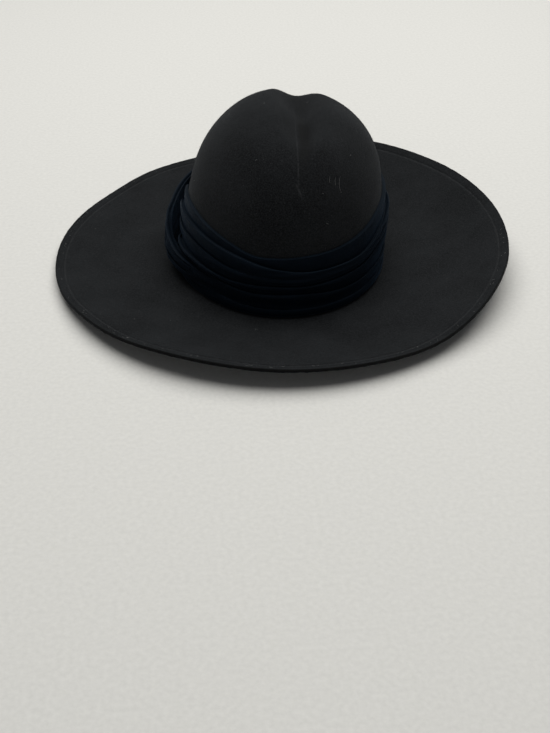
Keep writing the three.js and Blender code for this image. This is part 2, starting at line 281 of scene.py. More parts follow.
for bend in np.linspace(0, math.pi / 2, BREAK_ROWS + 1)[1:]:
    plan_x, plan_y = head_plan(felt_angles, BREAK_RADIUS - BREAK_RADIUS * math.cos(bend))
    break_z = np.full(FELT_COLUMNS, CROWN_FOOT - BREAK_RADIUS * math.sin(bend))
    outside_rows.append(np.stack([plan_x, plan_y, break_z], -1))
    pressed_rows.append(np.zeros(FELT_COLUMNS))
    wear_and_painted_light_rows.append(np.zeros(FELT_COLUMNS))

# Rows of the brim: even steps to the pressed line, then fine steps over it to the cut edge
width = brim_width(felt_angles)
fine_start = SCORE_INSET + 0.0035
fine_end = SCORE_INSET - 0.0032
fine_step = 0.0004
edge_insets = [0.0036, 0.0024, 0.0014, CUT_EDGE_ROUND]
brim_insets = [width - (width - fine_start) * step / BRIM_ROWS for step in range(BRIM_ROWS + 1)]
near_insets = [*np.arange(fine_start - fine_step, fine_end, -fine_step), *edge_insets]
brim_insets += [np.full(FELT_COLUMNS, inset) for inset in near_insets]
for inset in brim_insets:
    outside_rows.append(brim_surface(felt_angles, 1 - inset / width))
    groove = np.exp(-(((inset - SCORE_INSET) / (SCORE_WIDTH / 2)) ** 2))
    pressed_rows.append(SCORE_DEPTH * groove)
    wear_and_painted_light_rows.append(SCORE_WEAR * groove**4)
outside = np.array(outside_rows)
pressed = np.array(pressed_rows)
wear_and_painted_light_grid = np.array(wear_and_painted_light_rows)

# Hand unevenness fades out where the band lies and where the hat rests
above_band = np.clip((outside[..., 2] - BAND_LEVEL) / CROWN_WAVE_FADE, 0, 1)
across_brim = np.hypot(outside[..., 0] / BRIM_HALF_WIDTH, outside[..., 1] / BRIM_HALF_LENGTH)
out_on_brim = np.clip((across_brim - BRIM_BEGINS) / BRIM_WAVE_FADE, 0, 1)
on_brim = (outside[..., 2] < BRIM_LEVEL) & (across_brim > FOOT_REACH)
amount = np.where(on_brim, BRIM_UNEVENNESS * out_on_brim, above_band)
normals = grid_normals(outside)
unevenness = HAND_WAVE * amount * hand_waves(outside, HAND_WAVE_LENGTH, seed=4)
outside += unevenness[..., None] * normals

# The small boss of felt left where the pinch runs out on the front of the crown
boss_y = -BOSS_PLACE * HEAD_HALF_LENGTH
boss_x = CREASE_SHIFT + boss_y * math.tan(CREASE_TURN)
from_boss = np.hypot(outside[..., 0] - boss_x, (outside[..., 1] - boss_y) * BOSS_SQUASH)
boss = np.where(outside[..., 2] > BOSS_LOWEST, np.exp(-((from_boss / BOSS_RADIUS) ** 2)), 0)
outside += (BOSS_HEIGHT * boss - pressed)[..., None] * normals
normals = grid_normals(outside)

# The cut edge has softened corners, and the inside lies one felt thickness below the outside
rim_rows = []
outward = outside[-1] - outside[-4]
outward /= np.linalg.norm(outward, axis=-1, keepdims=True)
edge_normal = normals[-1]
for drop in (CUT_EDGE_ROUND, FELT_THICKNESS - CUT_EDGE_ROUND):
    centre = outside[-1] - drop * edge_normal
    first = 0 if drop == CUT_EDGE_ROUND else math.pi / 2
    for turn in np.linspace(first, first + math.pi / 2, CUT_EDGE_STEPS + 1)[1:]:
        fuzz = 1 + CUT_FUZZ * hand_waves(centre, CUT_FUZZ_LENGTH, seed=9)[:, None]
        around = math.cos(turn) * edge_normal + math.sin(turn) * outward
        rim_rows.append(centre + CUT_EDGE_ROUND * fuzz * around)
inside = (outside - FELT_THICKNESS * normals)[::-2][1:]
inside[..., 2] = np.maximum(inside[..., 2], 0)
felt_rows = np.concatenate([outside, np.array(rim_rows), inside])
top = outside[0].mean(0)
ceiling = inside[-1].mean(0)
felt_points = np.concatenate([[top], felt_rows.reshape(-1, 3), [ceiling]])
felt_faces = ring_faces(len(felt_rows), FELT_COLUMNS, 1)
last_ring = 1 + (len(felt_rows) - 1) * FELT_COLUMNS
for column in range(FELT_COLUMNS):
    following = (column + 1) % FELT_COLUMNS
    felt_faces.append([0, 1 + column, 1 + following])
    felt_faces.append([len(felt_points) - 1, last_ring + following, last_ring + column])
felt_body = plain_mesh("felt_shell", felt_points, felt_faces)

# The cut edge is painted dark: painted shade, as it faces down and away from the light
wear_and_painted_light = np.zeros(len(felt_points))
wear_and_painted_light[1:1 + wear_and_painted_light_grid.size] = wear_and_painted_light_grid.ravel()
cut_edge = slice(1 + wear_and_painted_light_grid.size, 1 + wear_and_painted_light_grid.size + len(rim_rows) * FELT_COLUMNS)
wear_and_painted_light[cut_edge] = -1
give_values(felt_body, "wear_and_painted_light", wear_and_painted_light)


def add_node(tree, kind, inputs=None, **settings):
    """A node with its settings, and its inputs set to values or linked to sockets."""
    node = tree.nodes.new(kind)
    for setting, value in settings.items():
        setattr(node, setting, value)
    for socket, value in (inputs or {}).items():
        if isinstance(value, bpy.types.NodeSocket):
            tree.links.new(value, node.inputs[socket])
        else:
            node.inputs[socket].default_value = value
    return node


def new_finish(name, **surface):
    """A material with a principled surface, whose uniform values are set on its own sockets."""
    material = bpy.data.materials.new(name)
    material.use_nodes = True
    shader = material.node_tree.nodes["Principled BSDF"]
    for socket, value in surface.items():
        shader.inputs[socket.replace("_", " ")].default_value = value
    return material, material.node_tree, shader


def mixed(tree, share, low, high, blend="MIX"):
    """Colour between two, by a share."""
    node = add_node(tree, "ShaderNodeMix", data_type="RGBA", blend_type=blend)
    for socket, value in ((0, share), (6, low), (7, high)):
        if isinstance(value, bpy.types.NodeSocket):
            tree.links.new(value, node.inputs[socket])
        elif socket == 0:
            node.inputs[socket].default_value = value
        else:
            node.inputs[socket].default_value = (*value, 1)
    return node.outputs[2]


def ranged(tree, value, low, high, to_low=0.0, to_high=1.0):
    """A value stretched from one range to another."""
    inputs = {0: value, 1: low, 2: high, 3: to_low, 4: to_high}
    return add_node(tree, "ShaderNodeMapRange", inputs).outputs[0]


def product(tree, first, second):
    """Two values multiplied."""
    return add_node(tree, "ShaderNodeMath", {0: first, 1: second}, operation="MULTIPLY").outputs[0]


def noise(tree, place, scale, detail, roughness=0.5):
    """A cloudy pattern's value at a place."""
    inputs = {"Vector": place, "Scale": scale, "Detail": detail, "Roughness": roughness}
    return add_node(tree, "ShaderNodeTexNoise", inputs).outputs["Fac"]


def add_relief(tree, shader, height, strength, depth):
    """Fine relief on a finish, from a pattern of heights."""
    inputs = {"Height": height, "Strength": strength, "Distance": depth}
    relief = add_node(tree, "ShaderNodeBump", inputs)
    tree.links.new(relief.outputs[0], shader.inputs["Normal"])


FELT_DARK = (0.0021, 0.0027, 0.0034)
FELT_LIGHT = (0.0077, 0.0087, 0.01)
FELT_GRAIN = (0.018, 0.0196, 0.0213)
FELT_DUST = (0.13, 0.13, 0.13)
# Worn felt, and the painted highlight of the curl where the pinch runs out
FELT_WORN_AND_LIT = (0.05, 0.051, 0.053)
# Painted shade for the crease's hollows and the cut edge
FELT_SHADED = (0.0015, 0.0016, 0.0018)
felt, tree, shader = new_finish(
    "black_wool_felt", Roughness=0.95, Specular_IOR_Level=0.15, Sheen_Weight=0.06,
    Sheen_Roughness=0.4, Sheen_Tint=(0.62, 0.66, 0.72, 1),
)
place = add_node(tree, "ShaderNodeTexCoord").outputs["Object"]
mottle = noise(tree, place, scale=26, detail=4, roughness=0.55)
grain = noise(tree, place, scale=900, detail=3, roughness=0.7)
fibre = noise(tree, place, scale=420, detail=5, roughness=0.75)
dust = noise(tree, place, scale=1500, detail=1)
painted_light_and_wear = add_node(tree, "ShaderNodeAttribute", attribute_name="wear_and_painted_light").outputs["Fac"]
patchy_wear_and_highlight = product(tree, painted_light_and_wear, ranged(tree, fibre, 0.38, 0.62))
base = mixed(tree, ranged(tree, mottle, 0.35, 0.68), FELT_DARK, FELT_LIGHT)
base = mixed(tree, ranged(tree, grain, 0.4, 0.75), base, FELT_GRAIN)
base = mixed(tree, ranged(tree, dust, 0.74, 0.8, to_high=0.5), base, FELT_DUST)
# Lighter where the nap is worn, and where a highlight is painted
base = mixed(tree, patchy_wear_and_highlight, base, FELT_WORN_AND_LIT)
# Painted shade where the values are below zero
base = mixed(tree, ranged(tree, painted_light_and_wear, -1, 0, to_low=0.85, to_high=0), base, FELT_SHADED)
tree.links.new(base, shader.inputs["Base Color"])
height = add_node(tree, "ShaderNodeMath", {0: fibre, 1: grain}, operation="ADD").outputs[0]
add_relief(tree, shader, height, strength=0.55, depth=0.0005)
felt_body.data.materials.append(felt)
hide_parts("felt_body")
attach(felt_body, "root")

# Nap: the short soft wool fibres that stand off the felt's outside. They belong to the felt, are
# rooted in its surface and lie over at uneven angles, and none grow where the band covers it.
NAP_HAIRS = 42000
NAP_AREA = 0.19
NAP_LENGTH = 0.0011
NAP_HALF_THICKNESS = 0.00005
NAP_LEAN = 0.9
NAP_SWING_LEAST = (-0.5, -0.5, -math.pi)
NAP_SWING_MOST = (1.0, 0.5, math.pi)
NAP_SHORTEST = 0.35
NAP_LONGEST = 1.1


def group_socket(tree, name, kind, way="INPUT"):
    """A named socket of a geometry tree."""
    tree.interface.new_socket(name=name, in_out=way, socket_type=kind)


def scatter_tree(name, material):
    """A tree that roots closed, pointed three-sided hairs on a surface and lays them over."""
    tree = bpy.data.node_groups.new(name, "GeometryNodeTree")
    group_socket(tree, "Geometry", "NodeSocketGeometry")
    for label in ("Density", "Length", "Half Thickness", "Lean"):
        group_socket(tree, label, "NodeSocketFloat")
    group_socket(tree, "Geometry", "NodeSocketGeometry", way="OUTPUT")
    given = add_node(tree, "NodeGroupInput").outputs
    amount = add_node(tree, "GeometryNodeInputNamedAttribute", {"Name": "hairiness"}, data_type="FLOAT")
    wanted = product(tree, given["Density"], amount.outputs[0])
    roots = add_node(
        tree, "GeometryNodeDistributePointsOnFaces",
        {"Mesh": given["Geometry"], "Density": wanted, "Seed": 7},
    )
    hair = add_node(
        tree, "GeometryNodeMeshCone",
        {"Vertices": 3, "Side Segments": 1, "Fill Segments": 1, "Radius Top": 0.0,
         "Radius Bottom": given["Half Thickness"], "Depth": given["Length"]},
    )
    swing = add_node(
        tree, "FunctionNodeRandomValue",
        {"Min": NAP_SWING_LEAST, "Max": NAP_SWING_MOST, "Seed": 11},
        data_type="FLOAT_VECTOR",
    )
    laid = add_node(
        tree, "ShaderNodeVectorMath", {0: swing.outputs[0], "Scale": given["Lean"]}, operation="SCALE"
    )
    turned = add_node(
        tree, "FunctionNodeRotateRotation",
        {"Rotation": roots.outputs["Rotation"], "Rotate By": laid.outputs[0]}, rotation_space="LOCAL",
    )
    inputs = {2: NAP_SHORTEST, 3: NAP_LONGEST, "Seed": 13}
    long = add_node(tree, "FunctionNodeRandomValue", inputs, data_type="FLOAT")
    placed = add_node(
        tree, "GeometryNodeInstanceOnPoints",
        {"Points": roots.outputs["Points"], "Instance": hair.outputs["Mesh"],
         "Rotation": turned.outputs[0], "Scale": long.outputs[1]},
    )
    real = add_node(tree, "GeometryNodeRealizeInstances", {"Geometry": placed.outputs[0]})
    inputs = {"Geometry": real.outputs[0], "Material": material}
    finished = add_node(tree, "GeometryNodeSetMaterial", inputs)
    tree.links.new(finished.outputs[0], add_node(tree, "NodeGroupOutput").inputs[0])
    return tree


def grown(name, source, tree, sizes):
    """A plain mesh made by a geometry tree from a source object, with the tree's sizes set."""
    helper = bpy.data.objects.new(name + "_source", source.data)
    bpy.context.scene.collection.objects.link(helper)
    growth = helper.modifiers.new(name, "NODES")
    growth.node_group = tree
    for item in tree.interface.items_tree:
        if item.in_out == "INPUT" and item.name in sizes:
            growth[item.identifier] = sizes[item.name]
    ready = helper.evaluated_get(bpy.context.evaluated_depsgraph_get())
    mesh = bpy.data.meshes.new_from_object(ready)
    bpy.data.objects.remove(helper)
    mesh.name = name
    piece = bpy.data.objects.new(name, mesh)
    bpy.context.scene.collection.objects.link(piece)
    return piece


hairiness = np.zeros(len(felt_points))
seen_felt = (outside[..., 2] > BAND_LEVEL) | (across_brim > BRIM_BEGINS)
hairiness[1:1 + seen_felt.size] = seen_felt.ravel()
hairiness[cut_edge] = 1
give_values(felt_body, "hairiness", hairiness)
nap_wool, tree, shader = new_finish(
    "wool_nap", Roughness=0.9, Specular_IOR_Level=0.15, Base_Color=(0.022, 0.0238, 0.026, 1)
)
nap_sizes = {
    "Density": NAP_HAIRS / NAP_AREA, "Length": NAP_LENGTH, "Half Thickness": NAP_HALF_THICKNESS,
    "Lean": NAP_LEAN,
}
hair_tree = scatter_tree("rooted_hairs", nap_wool)
nap = grown("felt_nap", felt_body, hair_tree, nap_sizes)
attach(nap, "root")

# Lint: a few pale fibres caught on the felt, most along the cut edge of the brim, and three loose
# hairs on the front of the crown. Each is a thin round thread that lies on the nap.
LINT_FIBRES = 96
LINT_ON_CUT_EDGE = 0.85
LINT_LENGTHS = (0.001, 0.0032)
LINT_HEADINGS = (0, 6.3)
LINT_CURLS = (-2, 2)
LINT_HALF_THICKNESS = 0.00006
LINT_LIFT = 0.00025
LINT_ARCH = 0.0002
LINT_ARCHES = 3
LINT_EDGE_ROWS = 3
LINT_BARE_ROWS = 20
THREAD_SIDES = 5
THREAD_STEPS = 8
SEARCH_ROWS = 12

# Place across the front of the crown and height there, length, heading and curl of each loose hair
LOOSE_HAIRS = [
    (0.0408, 0.1074, 0.013, 1.25, 1.1),
    (0.0360, 0.1108, 0.006, 1.25, 0.4),
    (0.0313, 0.1126, 0.005, 1.20, 0.3),
]


def thread(points, half_thickness):
    """Points and faces of a thin closed thread along a path."""
    run = np.gradient(points, axis=0)
    run /= np.linalg.norm(run, axis=1, keepdims=True)
    side = np.cross(run, (0.3, 0.2, 0.93))
    side /= np.linalg.norm(side, axis=1, keepdims=True)
    rise = np.cross(side, run)
    thick = half_thickness * np.sqrt(np.sin(np.linspace(0.12, 0.88, len(points)) * math.pi))[:, None]
    rings = [
        points + thick * (math.cos(turn) * side + math.sin(turn) * rise)
        for turn in np.arange(THREAD_SIDES) * 2 * math.pi / THREAD_SIDES
    ]
    skin = np.stack(rings, 1).reshape(-1, 3)
    faces = [face[::-1] for face in ring_faces(len(points), THREAD_SIDES)]
    faces.append(list(range(THREAD_SIDES)))
    faces.append([len(skin) - 1 - side for side in range(THREAD_SIDES)])
    return skin, faces


def lint_path(row, column, length, heading, curl):
    """A curled path that lies on the felt's outside from one of its grid points."""
    at = outside[row, column]
    square = normals[row, column]
    along = np.cross(square, (0, 0, 1.0))
    along /= np.linalg.norm(along)
    up = np.cross(square, along)
    t = np.linspace(-0.5, 0.5, THREAD_STEPS + 1)
    turn = heading + curl * t
    step = length / THREAD_STEPS * (np.cos(turn)[:, None] * along + np.sin(turn)[:, None] * up)
    path = at + np.cumsum(step, 0) - step.sum(0) / 2
    near = slice(max(row - SEARCH_ROWS, 0), row + SEARCH_ROWS)
    patch = outside[near].reshape(-1, 3)
    nearest = [np.argmin(np.linalg.norm(patch - spot, axis=-1)) for spot in path]
    facing = normals[near].reshape(-1, 3)[nearest]
    height = ((path - patch[nearest]) * facing).sum(1, keepdims=True)
    return path + (LINT_LIFT + LINT_ARCH * np.abs(np.sin(LINT_ARCHES * t))[:, None] - height) * facing


draws = np.random.default_rng(17)
edge_row = len(outside) - LINT_EDGE_ROWS
fibres = []
for _ in range(LINT_FIBRES):
    if draws.random() < LINT_ON_CUT_EDGE:
        row = edge_row - int(draws.integers(0, LINT_EDGE_ROWS))
    else:
        row = int(draws.integers(LINT_BARE_ROWS, len(outside) - LINT_BARE_ROWS))
    column = int(draws.integers(0, FELT_COLUMNS))
    length = draws.uniform(*LINT_LENGTHS)
    heading = draws.uniform(*LINT_HEADINGS)
    fibres.append((row, column, length, heading, draws.uniform(*LINT_CURLS)))
front_felt = outside[:CROWN_ROWS + 1]
for x, z, length, heading, curl in LOOSE_HAIRS:
    apart = np.hypot(front_felt[..., 0] - x, front_felt[..., 2] - z) + (front_felt[..., 1] > 0)
    fibres.append((*np.unravel_index(np.argmin(apart), apart.shape), length, heading, curl))

# A fibre that would lie under the band is left out
BAND_FOOT_LEVEL = 0.03
lint_points = []
lint_faces = []
total = 0
for row, column, length, heading, curl in fibres:
    height = outside[row, column, 2]
    beside_foot = height < BAND_FOOT_LEVEL and across_brim[row, column] < FOOT_REACH
    if beside_foot or BAND_FOOT_LEVEL < height < BAND_LEVEL:
        continue
    skin, faces = thread(lint_path(row, column, length, heading, curl), LINT_HALF_THICKNESS)
    lint_points.append(skin)
    lint_faces += [[corner + total for corner in face] for face in faces]
    total += len(skin)
lint = plain_mesh("lint_fibres", np.concatenate(lint_points), lint_faces)
pale_fibre, tree, shader = new_finish(
    "pale_lint", Roughness=0.8, Specular_IOR_Level=0.3, Base_Color=(0.24, 0.24, 0.235, 1)
)
lint.data.materials.append(pale_fibre)
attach(lint, "root")

# Draped band: one long strip of blue-black cloth, laid in five lapped pleats round the foot of the
# crown. Its start is tucked in on the hat's right, and after a full turn its outer end stands off
# the crown there and is drawn down into the lower folds of the front.
BAND_HEIGHT = 0.066
CLOTH_THICKNESS = 0.0015
PLEAT_DEPTH = 0.0045
POCKET_DEPTH = 0.005
BAND_START = 168
BAND_OVERLAP = 78
BAND_START_SLANT = 36
BAND_RADIUS = 0.1
CLEARANCE = 0.0004
LOW_FOLDS = 2
SLOT_DEPTH = 0.0036
FLUSH = 0.97
TOP_FOLD_SWELL = 0.3
LAPPED_TOP_SWELL = 0.9
WRINKLE_DEPTH = 0.0002
WRINKLE_LENGTH = 0.11
WRINKLE_WIDTH = 0.008
WRINKLE_WAVES = 14
WRINKLE_EVENING = 3.7
WRINKLE_GROWTH = 1.6
WRINKLE_HELD = 0.3
LIP_GAP_DEPTH = 0.004
TUCK = 0.6
TUCK_REACH = 0.5
STEPS_PER_TURN = 540
RISE_ROUNDS = 6
PLEAT_MIDDLE = 0.7
HEM_SWELL = 0.1
HEM_ROUND = 0.4

# Bearing in degrees, top as a share of BAND_HEIGHT, how far the third, the upper and the lower
# folds swell, whether the layer lies on another, how far it stands off there, how far the pocket
# opens, then the five fold lines as shares of the top
BAND_RUN = [
    (168, 0.97, 1.2, 0.8, 0.30, 0.0, 0.00, 0.0, 0.19, 0.42, 0.52, 0.72, 0.88),
    (184, 1.02, 1.7, 0.9, 0.30, 0.0, 0.00, 0.0, 0.18, 0.39, 0.49, 0.68, 0.86),
    (200, 1.02, 1.6, 1.0, 0.50, 0.0, 0.00, 0.0, 0.18, 0.40, 0.49, 0.69, 0.87),
    (220, 0.95, 1.3, 1.0, 0.90, 0.0, 0.00, 0.0, 0.19, 0.41, 0.49, 0.69, 0.89),
    (234, 0.88, 1.0, 1.0, 1.00, 0.0, 0.00, 0.0, 0.18, 0.41, 0.50, 0.69, 0.91),
    (248, 0.80, 1.0, 1.0, 1.00, 0.0, 0.00, 0.0, 0.17, 0.42, 0.56, 0.72, 0.93),
    (262, 0.80, 1.0, 1.0, 1.00, 0.0, 0.00, 0.0, 0.16, 0.43, 0.57, 0.70, 0.86),
    (276, 0.82, 1.0, 1.0, 1.00, 0.0, 0.00, 0.0, 0.16, 0.42, 0.55, 0.66, 0.79),
    (294, 0.85, 1.0, 1.0, 1.00, 0.0, 0.00, 0.0, 0.16, 0.36, 0.56, 0.67, 0.77),
    (312, 0.92, 1.0, 1.0, 1.00, 0.0, 0.00, 0.0, 0.15, 0.33, 0.55, 0.65, 0.74),
    (330, 1.03, 1.0, 1.1, 1.00, 0.0, 0.00, 0.0, 0.15, 0.31, 0.58, 0.69, 0.79),
    (360, 1.09, 1.1, 1.2, 0.90, 0.0, 0.00, 0.0, 0.16, 0.34, 0.58, 0.70, 0.82),
    (450, 0.99, 0.9, 0.9, 0.90, 0.0, 0.00, 0.0, 0.18, 0.36, 0.53, 0.68, 0.84),
    (486, 0.91, 0.9, 0.9, 0.70, 0.5, 0.40, 0.1, 0.18, 0.36, 0.53, 0.68, 0.84),
    (510, 0.83, 0.8, 0.8, 0.50, 1.0, 0.90, 0.3, 0.18, 0.36, 0.53, 0.68, 0.84),
    (528, 0.75, 0.8, 0.8, 0.30, 1.0, 0.90, 0.6, 0.18, 0.36, 0.53, 0.68, 0.84),
    (538, 0.65, 0.9, 0.9, 0.20, 1.0, 0.90, 1.1, 0.18, 0.36, 0.53, 0.68, 0.84),
    (546, 0.51, 1.0, 1.0, 0.20, 1.0, 0.90, 1.0, 0.20, 0.38, 0.55, 0.70, 0.86),
    (554, 0.42, 1.1, 1.1, 0.20, 1.0, 0.80, 0.5, 0.24, 0.42, 0.58, 0.74, 0.88),
    (568, 0.39, 1.0, 1.0, 0.40, 1.0, 0.60, 0.1, 0.28, 0.46, 0.62, 0.76, 0.90),
    (582, 0.36, 0.8, 0.8, 0.60, 1.0, 0.50, 0.0, 0.30, 0.48, 0.64, 0.78, 0.90),
    (594, 0.35, 0.5, 0.5, 0.50, 1.0, 0.75, 0.0, 0.32, 0.50, 0.66, 0.80, 0.92),
    (606, 0.33, 0.1, 0.1, 0.10, 1.0, 1.05, 0.0, 0.34, 0.50, 0.66, 0.80, 0.92),
]

# Bearing in degrees and how deep each of the five fold lines is cut into the pleats there
CREVICE_RUN = [
    (168, 0.3, 1.0, 1.0, 1.0, 0.6),
    (220, 0.3, 1.0, 1.0, 0.9, 0.4),
    (236, 0.2, 1.0, 1.0, 0.5, 0.2),
    (246, 0.2, 1.0, 1.0, 0.1, 0.3),
    (262, 0.2, 1.0, 1.0, 0.0, 0.9),
    (300, 0.2, 1.0, 1.0, 0.0, 1.0),
    (330, 0.3, 1.0, 1.0, 0.3, 1.0),
    (360, 0.6, 1.0, 1.0, 0.8, 1.0),
    (520, 0.6, 1.0, 1.0, 1.0, 1.0),
    (536, 0.2, 0.5, 1.0, 0.5, 0.5),
    (548, 0.0, 0.0, 1.0, 0.0, 0.0),
    (560, 0.0, 0.0, 0.9, 0.0, 0.0),
    (572, 0.0, 0.0, 0.0, 0.0, 0.0),
    (606, 0.0, 0.0, 0.0, 0.0, 0.0),
]


def band_floor(angle, offset):
    """Lowest height that keeps cloth at this offset clear of the break and the brim."""
    radius = BREAK_RADIUS - CLEARANCE
    beside_break = CROWN_FOOT - np.sqrt(np.maximum(radius**2 - (BREAK_RADIUS - offset) ** 2, 0))
    share = np.maximum(offset - RING_EDGE, 0) / brim_width(angle)
    over_brim = brim_surface(angle, share)[..., 2] + CLEARANCE
    return np.where(offset < BREAK_RADIUS, beside_break, over_brim)


def beside_crown(angle, z, offset):
    """A point at a height beside the crown's wall, at an offset off the felt.

    The wall's fall and its rise depend on each other, so both are found in a few rounds.
    """
    plan_x, plan_y = head_plan(angle, 0)
    rise = np.zeros_like(z)
    for _ in range(RISE_ROUNDS):
        reach = (1 - rise**CROWN_RISE_POWER) ** (1 / CROWN_PLAN_POWER)
        fall = crown_fall(plan_x * reach + CROWN_LEAN * rise**2, rise)
        rise = np.clip((z + fall - CROWN_FOOT) / (CROWN_HEIGHT - CROWN_FOOT), 0, 0.999)
    reach = (1 - rise**CROWN_RISE_POWER) ** (1 / CROWN_PLAN_POWER)
    out_x, out_y = head_plan(angle, offset)
    x = plan_x * reach + CROWN_LEAN * rise**2 + out_x - plan_x
    y = plan_y * reach + out_y - plan_y
    return np.stack([x, y, z], -1)


def cloth_wrinkles(along, across, seed):
    """Long, shallow wrinkles that run with the pleats, between about -1 and 1."""
    draws = np.random.default_rng(seed)
    total = np.zeros_like(along)
    for _ in range(WRINKLE_WAVES):
        run = draws.uniform(0.4, 1.6) * 2 * math.pi / WRINKLE_LENGTH
        cross = draws.uniform(0.5, 1.6) * 2 * math.pi / WRINKLE_WIDTH
        leaning = run * along * draws.choice([-1, 1])
        total += np.sin(leaning + cross * across + draws.uniform(0, 2 * math.pi))
    return total / WRINKLE_EVENING


# One pleat's section, from the slot that it rises out of, over its rounded shoulder and into the
# slot behind that. Each row is how far up the pleat it is, how far down in the slot below or above,
# and how far out, as shares.
PLEAT_SECTION = [
    (0.00, 1.00, 0.00, 0.50),
    (0.02, 0.45, 0.00, 0.47),
    (0.06, 0.00, 0.00, 0.50),
    (0.18, 0.00, 0.00, 0.66),
    (0.34, 0.00, 0.00, 0.82),
    (0.54, 0.00, 0.00, 0.95),
    (0.72, 0.00, 0.00, 1.00),
    (0.86, 0.00, 0.00, 0.97),
    (0.95, 0.00, 0.00, 0.88),
    (0.99, 0.00, 0.06, 0.76),
    (1.00, 0.00, 0.35, 0.67),
    (1.00, 0.00, 0.75, 0.60),
]
pleat_at, in_slot_below, in_slot_above, pleat_bulge = np.array(PLEAT_SECTION).T[:, None, :]

# The doubled upper edge's section, as shares: how far down in the gap between its two lips, and how
# far out
LIP_SECTION = [(0, 0.5), (0.7, 0.36), (1, 0.2), (0.7, 0.05), (0.05, -0.2), (0, -0.45)]

band_steps = round((360 + BAND_OVERLAP) * STEPS_PER_TURN / 360)
bearings = BAND_START + np.arange(band_steps + 1) * 360 / STEPS_PER_TURN
run = curve_through(BAND_RUN, bearings)
top_share, third, puff, low, over, stand, pocket = run[:7]
lines = np.concatenate([[0 * bearings], run[7:], [0 * bearings + 1]]).T
cut_depths = np.clip(curve_through(CREVICE_RUN, bearings), 0, 1)
crevices = np.concatenate([[0 * bearings], cut_depths, [0 * bearings]]).T
band_top = BAND_HEIGHT * top_share
layer_back = CLEARANCE + over * (CLOTH_THICKNESS + CLEARANCE)
stands_off = stand * PLEAT_DEPTH + pocket * POCKET_DEPTH

# The outer end thins out and settles on the folds below it, so that it seems to run on into them
TAIL_START = 560
TAIL_RUN = 36
TAIL_THINNING = 0.9
TAIL_SINK = 0.0006
TAIL_CONTACT = 0.0012
tail = np.clip((bearings - TAIL_START) / TAIL_RUN, 0, 1)
tail = tail * tail * (3 - 2 * tail)
cloth = CLOTH_THICKNESS * (1 - TAIL_THINNING * tail)

# The start's folds end in rounded tongues, one stepped behind the next
TONGUE_RUN = 5
TONGUE_STEP = 0.75
STEPPING_RUN = 9
STEPPING_END = 60
from_start = bearings - BAND_START
tongue = np.sqrt(np.clip(1 - (1 - np.clip(from_start / TONGUE_RUN, 0, 1)) ** 2, 0, 1))
stepping = TONGUE_STEP * np.exp(-np.clip(from_start, 0, STEPPING_END) / STEPPING_RUN)

# The top fold lies flat on the felt, but stands full where the strip laps over itself
top_swell = TOP_FOLD_SWELL + (LAPPED_TOP_SWELL - TOP_FOLD_SWELL) * over

shares = []
swells = []
turned_shares = []
for fold in range(lines.shape[1] - 1):
    lower, upper = lines[:, fold:fold + 1], lines[:, fold + 1:fold + 2]
    below, above = crevices[:, fold:fold + 1], crevices[:, fold + 1:fold + 2]
    fullness = low if fold < LOW_FOLDS else third if fold == LOW_FOLDS else puff
    swell = fullness[:, None] * PLEAT_DEPTH * tongue[:, None]
    if fold == lines.shape[1] - 2:
        swell = swell * top_swell[:, None]
    slot = SLOT_DEPTH / band_top[:, None]
    share = lower + (upper - lower) * pleat_at - slot * (below * in_slot_below + above * in_slot_above)
    open_here = np.where(pleat_at < PLEAT_MIDDLE, below, above)
    bulge = np.maximum(pleat_bulge, FLUSH * (1 - open_here))
    if fold == 0:
        hem = HEM_SWELL + (1 - HEM_SWELL) * np.sqrt(np.clip(pleat_at / HEM_ROUND, 0, 1))
        bulge = np.where(pleat_at < PLEAT_MIDDLE, hem, bulge)
    shares.append(share)
    swells.append(swell * bulge)
    turned_shares.append(share + stepping[:, None] * ((lower + upper) / 2 - share))
# The strip's upper edge is doubled over, which shows as two lips where the outer layer stands off
lip_gap = LIP_GAP_DEPTH / band_top * np.clip(stand * 2, 0, 1)
for down, out in LIP_SECTION:
    share = (1 - down * lip_gap)[:, None]
    shares.append(share)
    turned_shares.append(share - stepping[:, None] * (1 - lines[:, -2:-1]) / 2)
    swells.append(out * (top_swell * puff * PLEAT_DEPTH * tongue)[:, None])
face_share = np.concatenate(shares, 1)
turned_share = np.concatenate(turned_shares, 1)
swell = np.concatenate(swells, 1)

slant = BAND_START_SLANT * np.maximum(1 - from_start / (2 * BAND_START_SLANT), 0)
along = np.broadcast_to((np.radians(bearings) * HEAD_HALF_LENGTH)[:, None], face_share.shape)
up_cloth = face_share * band_top[:, None]
wrinkle = WRINKLE_DEPTH * cloth_wrinkles(along, up_cloth, seed=21)
wrinkle *= np.clip(swell / PLEAT_DEPTH * WRINKLE_GROWTH - WRINKLE_HELD, 0, 1)
# The outer layer is tucked in along its foot
foot = np.clip(1 - face_share / TUCK_REACH, 0, 1)
tuck = 1 - TUCK * foot * foot * (3 - 2 * foot)
back_offset = layer_back[:, None] + stands_off[:, None] * tuck
face_offset = back_offset + cloth[:, None] + swell + wrinkle

# Under the tail, the cloth's own first layer is what it rests on
for station in np.nonzero(tail > 0)[0]:
    under = station - STEPS_PER_TURN
    under_height = face_share[under] * band_top[under]
    near = np.abs(under_height[None, :] - up_cloth[station][:, None]) < TAIL_CONTACT
    here = np.where(near, face_offset[under][None, :], 0).max(1)
    settled = np.maximum(here, layer_back[under] + CLOTH_THICKNESS) - TAIL_SINK * tail[station] ** 3
    back_offset[station] += tail[station] * (settled - back_offset[station])
    face_offset[station] += tail[station] * (settled + cloth[station] - face_offset[station])


